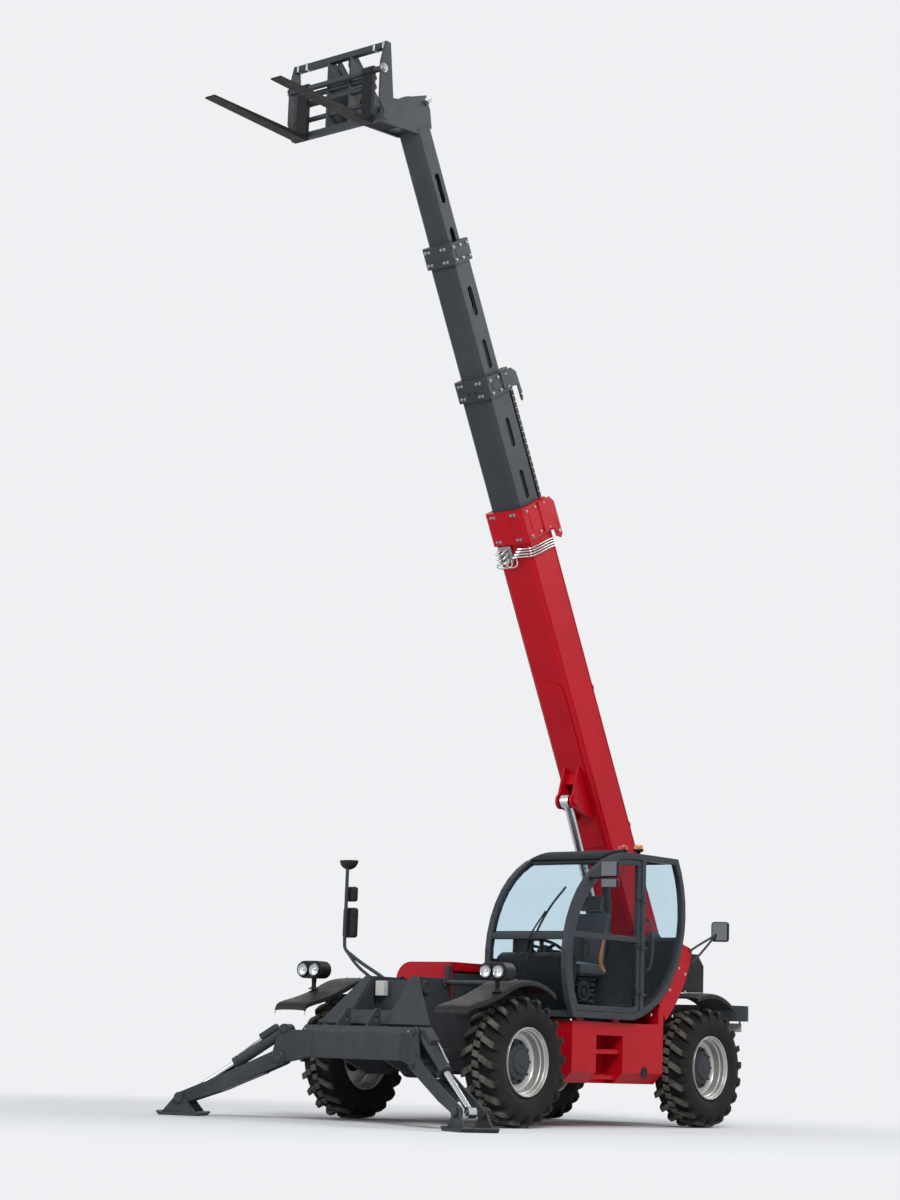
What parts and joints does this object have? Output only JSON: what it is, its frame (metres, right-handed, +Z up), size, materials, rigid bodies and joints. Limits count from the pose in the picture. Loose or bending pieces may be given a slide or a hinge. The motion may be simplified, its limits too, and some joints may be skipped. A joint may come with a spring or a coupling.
{
  "type": "telehandler",
  "caption": "Rough-terrain telescopic handler with a side cab, a raised and run-out boom, pallet forks and front stabilisers set on the floor.",
  "frame": {"origin": "on the floor below the middle of the machine's length and width", "axes": "+X forward, +Y to the machine's left, +Z up"},
  "size_m": [7.594, 4.065, 10.3803],
  "materials": {
    "charcoal_paint": "semi-gloss charcoal paint with dust",
    "red_paint": "glossy red paint",
    "black_plastic": "black moulded plastic",
    "tyre_rubber": "dusty black rubber",
    "rim_silver": "silver wheel paint",
    "clear_glass": "tinted clear glass",
    "chrome_rod": "hard chrome",
    "seat_fabric": "dark woven seat fabric",
    "cast_block": "plain cast iron",
    "fork_steel": "worn black paint on forged steel",
    "lamp_clear": "clear lamp lenses in black pods"
  },
  "bodies": {
    "chassis": {"chassis_frame": "charcoal_paint", "front_beam": "charcoal_paint", "counterweight": "charcoal_paint", "rear_bumper": "charcoal_paint", "side_tank": "red_paint", "axle_front": "charcoal_paint", "axle_rear": "charcoal_paint", "engine_block": "cast_block", "front_fenders": "black_plastic", "rear_fenders": "black_plastic", "lamps": "lamp_clear", "mirrors": "black_plastic", "side_panel": "red_paint", "rear_cover": "black_plastic", "cab_frame": "charcoal_paint", "cab_shell": "charcoal_paint", "cab_roof": "charcoal_paint", "cab_glass": "clear_glass", "operator_seat": "seat_fabric", "controls": "black_plastic"},
    "door": {"cab_door": "charcoal_paint", "door_glass": "clear_glass"},
    "hood": {"engine_hood": "red_paint"},
    "steer_fl": {"knuckle_fl": "charcoal_paint"},
    "wheel_fl": {"rim_fl": "rim_silver", "tyre_fl": "tyre_rubber"},
    "steer_fr": {"knuckle_fr": "charcoal_paint"},
    "wheel_fr": {"rim_fr": "rim_silver", "tyre_fr": "tyre_rubber"},
    "steer_rl": {"knuckle_rl": "charcoal_paint"},
    "wheel_rl": {"rim_rl": "rim_silver", "tyre_rl": "tyre_rubber"},
    "steer_rr": {"knuckle_rr": "charcoal_paint"},
    "wheel_rr": {"rim_rr": "rim_silver", "tyre_rr": "tyre_rubber"},
    "boom": {"boom_base": "red_paint"},
    "boom_2": {"boom_section_2": "charcoal_paint", "drag_chain": "black_plastic"},
    "boom_3": {"boom_section_3": "charcoal_paint"},
    "boom_4": {"boom_section_4": "charcoal_paint", "tilt_barrel": "charcoal_paint"},
    "carriage": {"fork_carriage": "charcoal_paint", "forks": "fork_steel"},
    "lift_barrel": {"lift_barrel": "charcoal_paint"},
    "lift_rod": {"lift_rod": "chrome_rod"},
    "tilt_rod": {"tilt_rod": "chrome_rod"},
    "arm_left": {"stabiliser_arm_left": "charcoal_paint"},
    "foot_left": {"stabiliser_foot_left": "charcoal_paint"},
    "leg_barrel_left": {"stabiliser_barrel_left": "charcoal_paint"},
    "leg_rod_left": {"stabiliser_rod_left": "chrome_rod"},
    "arm_right": {"stabiliser_arm_right": "charcoal_paint"},
    "foot_right": {"stabiliser_foot_right": "charcoal_paint"},
    "leg_barrel_right": {"stabiliser_barrel_right": "charcoal_paint"},
    "leg_rod_right": {"stabiliser_rod_right": "chrome_rod"}
  },
  "joints": [
    {"name": "door_hinge", "type": "hinge", "parent": "chassis", "child": "door", "pos_m": [-1.28402, 1.19, 1.33], "axis": [0, 0, 1], "range_deg": [0, 95]},
    {"name": "hood_hinge", "type": "hinge", "parent": "chassis", "child": "hood", "pos_m": [-1.01202, -0.44, 1.53], "axis": [-1, 0, 0], "range_deg": [0, 55]},
    {"name": "steer_front_left", "type": "hinge", "parent": "chassis", "child": "steer_fl", "pos_m": [0.58298, 0.75, 0.615], "axis": [0, 0, 1], "range_deg": [-35, 35]},
    {"name": "steer_front_right", "type": "hinge", "parent": "chassis", "child": "steer_fr", "pos_m": [0.58298, -0.75, 0.615], "axis": [0, 0, 1], "range_deg": [-35, 35]},
    {"name": "steer_rear_left", "type": "hinge", "parent": "chassis", "child": "steer_rl", "pos_m": [-2.60702, 0.75, 0.615], "axis": [0, 0, 1], "range_deg": [-35, 35]},
    {"name": "steer_rear_right", "type": "hinge", "parent": "chassis", "child": "steer_rr", "pos_m": [-2.60702, -0.75, 0.615], "axis": [0, 0, 1], "range_deg": [-35, 35]},
    {"name": "spin_front_left", "type": "hinge", "parent": "steer_fl", "child": "wheel_fl", "pos_m": [0.58298, 1.005, 0.615], "axis": [0, 1, 0], "continuous": true},
    {"name": "spin_front_right", "type": "hinge", "parent": "steer_fr", "child": "wheel_fr", "pos_m": [0.58298, -1.005, 0.615], "axis": [0, 1, 0], "continuous": true},
    {"name": "spin_rear_left", "type": "hinge", "parent": "steer_rl", "child": "wheel_rl", "pos_m": [-2.60702, 1.005, 0.615], "axis": [0, 1, 0], "continuous": true},
    {"name": "spin_rear_right", "type": "hinge", "parent": "steer_rr", "child": "wheel_rr", "pos_m": [-2.60702, -1.005, 0.615], "axis": [0, 1, 0], "continuous": true},
    {"name": "boom_lift", "type": "hinge", "parent": "chassis", "child": "boom", "pos_m": [-3.01702, -0.11, 1.927], "axis": [0, -1, 0], "range_deg": [-65, 10]},
    {"name": "boom_extend", "type": "slide", "parent": "boom", "child": "boom_2", "axis": [0.4695, 0, 0.8829], "range_m": [-1.15, 2.3]},
    {"name": "section_3_extend", "type": "slide", "parent": "boom_2", "child": "boom_3", "axis": [0.4695, 0, 0.8829], "range_m": [-1.15, 2.3]},
    {"name": "section_4_extend", "type": "slide", "parent": "boom_3", "child": "boom_4", "axis": [0.4695, 0, 0.8829], "range_m": [-1.15, 2.3]},
    {"name": "carriage_tilt", "type": "hinge", "parent": "boom_4", "child": "carriage", "pos_m": [1.94702, -0.11, 9.89976], "axis": [0, 1, 0], "range_deg": [-85, 40]},
    {"name": "tilt_rod_slide", "type": "slide", "parent": "boom_4", "child": "tilt_rod", "axis": [0.9721, 0, -0.2347], "range_m": [-0.2156, 0.102]},
    {"name": "lift_barrel_swing", "type": "hinge", "parent": "chassis", "child": "lift_barrel", "pos_m": [-2.90702, -0.11, 0.9], "axis": [0, -1, 0], "range_deg": [-48.12, 7.49]},
    {"name": "lift_rod_slide", "type": "slide", "parent": "lift_barrel", "child": "lift_rod", "axis": [0.4339, 0, 0.901], "range_m": [-0.8909, 0.1379]},
    {"name": "stabiliser_left", "type": "hinge", "parent": "chassis", "child": "arm_left", "pos_m": [1.78598, 0.883, 0.58], "axis": [-0.9085, 0.4179, 0], "range_deg": [-93, 12]},
    {"name": "foot_pivot_left", "type": "hinge", "parent": "arm_left", "child": "foot_left", "pos_m": [2.18929, 1.75986, 0.164], "axis": [-0.9085, 0.4179, 0], "range_deg": [-35, 35]},
    {"name": "leg_barrel_swing_left", "type": "hinge", "parent": "chassis", "child": "leg_barrel_left", "pos_m": [1.76676, 0.84121, 0.846], "axis": [-0.9085, 0.4179, 0], "range_deg": [-90.58, 11.78]},
    {"name": "leg_rod_slide_left", "type": "slide", "parent": "leg_barrel_left", "child": "leg_rod_left", "axis": [0.3464, 0.7532, -0.5592], "range_m": [-0.3919, 0.0514]},
    {"name": "stabiliser_right", "type": "hinge", "parent": "chassis", "child": "arm_right", "pos_m": [1.78598, -0.883, 0.58], "axis": [0.9085, 0.4179, 0], "range_deg": [-93, 12]},
    {"name": "foot_pivot_right", "type": "hinge", "parent": "arm_right", "child": "foot_right", "pos_m": [2.18929, -1.75986, 0.164], "axis": [0.9085, 0.4179, 0], "range_deg": [-35, 35]},
    {"name": "leg_barrel_swing_right", "type": "hinge", "parent": "chassis", "child": "leg_barrel_right", "pos_m": [1.76676, -0.84121, 0.846], "axis": [0.9085, 0.4179, 0], "range_deg": [-90.58, 11.78]},
    {"name": "leg_rod_slide_right", "type": "slide", "parent": "leg_barrel_right", "child": "leg_rod_right", "axis": [0.3464, -0.7532, -0.5592], "range_m": [-0.3919, 0.0514]}
  ],
  "couplings": [
    {"joint": "steer_front_right", "follows": "steer_front_left", "ratio": 1},
    {"joint": "steer_rear_right", "follows": "steer_rear_left", "ratio": 1},
    {"joint": "section_3_extend", "follows": "boom_extend", "ratio": 1},
    {"joint": "section_4_extend", "follows": "boom_extend", "ratio": 1},
    {"joint": "tilt_rod_slide", "follows": "carriage_tilt", "m_per_rad": 0.14465},
    {"joint": "lift_barrel_swing", "follows": "boom_lift", "ratio": 0.73877},
    {"joint": "lift_rod_slide", "follows": "boom_lift", "m_per_rad": 0.78444},
    {"joint": "leg_barrel_swing_left", "follows": "stabiliser_left", "ratio": 0.97292},
    {"joint": "leg_rod_slide_left", "follows": "stabiliser_left", "m_per_rad": 0.24082},
    {"joint": "leg_barrel_swing_right", "follows": "stabiliser_right", "ratio": 0.97292},
    {"joint": "leg_rod_slide_right", "follows": "stabiliser_right", "m_per_rad": 0.24082}
  ]
}
